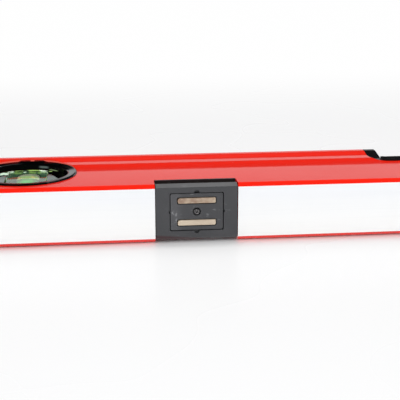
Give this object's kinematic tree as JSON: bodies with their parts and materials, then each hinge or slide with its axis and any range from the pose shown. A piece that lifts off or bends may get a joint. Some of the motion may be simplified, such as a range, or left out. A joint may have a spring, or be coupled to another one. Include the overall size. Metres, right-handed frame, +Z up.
{
  "type": "magnetic box spirit level",
  "caption": "Red box-section spirit level lying on its side, with magnets let into the milled measuring edge, a top-read vial and round plumb vials.",
  "frame": {"origin": "on the surface it lies on, under the middle of the body", "axes": "+X along the level, -Y out of the measuring face, +Z up out of the broad side that faces up"},
  "size_m": [0.5, 0.05, 0.0267],
  "materials": {
    "red_aluminium": "glossy red coat over extruded aluminium, milled bare on the measuring face",
    "cap_plastic": "fine matte",
    "housing_plastic": "dark grey satin",
    "gloss_black": "polished black",
    "pole_steel": "ground, slightly tarnished",
    "magnet": "dull sintered",
    "screw_steel": "darkened",
    "clear_block": "clear, polished, faintly green",
    "green_liquid": "clear green liquid",
    "bubble": "clear pale bubble",
    "seal_plastic": "pale translucent"
  },
  "bodies": {
    "level": {"box_profile": "red_aluminium", "top_vial_frame": "gloss_black", "top_vial_block": "clear_block", "top_vial_liquid": "green_liquid", "end_cap_left": "cap_plastic", "top_vial_plug_left": "seal_plastic", "magnet_housing_left": "housing_plastic", "insert_plate_left": "housing_plastic", "pole_bar_upper_left": "pole_steel", "pole_bar_lower_left": "pole_steel", "magnet_left": "magnet", "insert_screw_left": "screw_steel", "plumb_bezel_upper_left": "gloss_black", "plumb_bezel_lower_left": "gloss_black", "plumb_holder_left": "gloss_black", "plumb_block_left": "clear_block", "plumb_liquid_left": "green_liquid", "plumb_plug_near_left": "seal_plastic", "plumb_plug_far_left": "seal_plastic", "end_cap_right": "cap_plastic", "top_vial_plug_right": "seal_plastic", "magnet_housing_right": "housing_plastic", "insert_plate_right": "housing_plastic", "pole_bar_upper_right": "pole_steel", "pole_bar_lower_right": "pole_steel", "magnet_right": "magnet", "insert_screw_right": "screw_steel", "plumb_bezel_upper_right": "gloss_black", "plumb_bezel_lower_right": "gloss_black", "plumb_holder_right": "gloss_black", "plumb_block_right": "clear_block", "plumb_liquid_right": "green_liquid", "plumb_plug_near_right": "seal_plastic", "plumb_plug_far_right": "seal_plastic"},
    "top_vial_bubble_body": {"top_vial_bubble": "bubble"},
    "plumb_bubble_left_body": {"plumb_bubble_left": "bubble"},
    "plumb_bubble_right_body": {"plumb_bubble_right": "bubble"}
  },
  "joints": [
    {"name": "top_bubble_slide", "type": "slide", "parent": "level", "child": "top_vial_bubble_body", "axis": [1, 0, 0], "range_m": [-0.008, 0.008]},
    {"name": "plumb_bubble_left_slide", "type": "slide", "parent": "level", "child": "plumb_bubble_left_body", "axis": [0, 1, 0], "range_m": [-0.005, 0.005]},
    {"name": "plumb_bubble_right_slide", "type": "slide", "parent": "level", "child": "plumb_bubble_right_body", "axis": [0, 1, 0], "range_m": [-0.005, 0.005]}
  ]
}
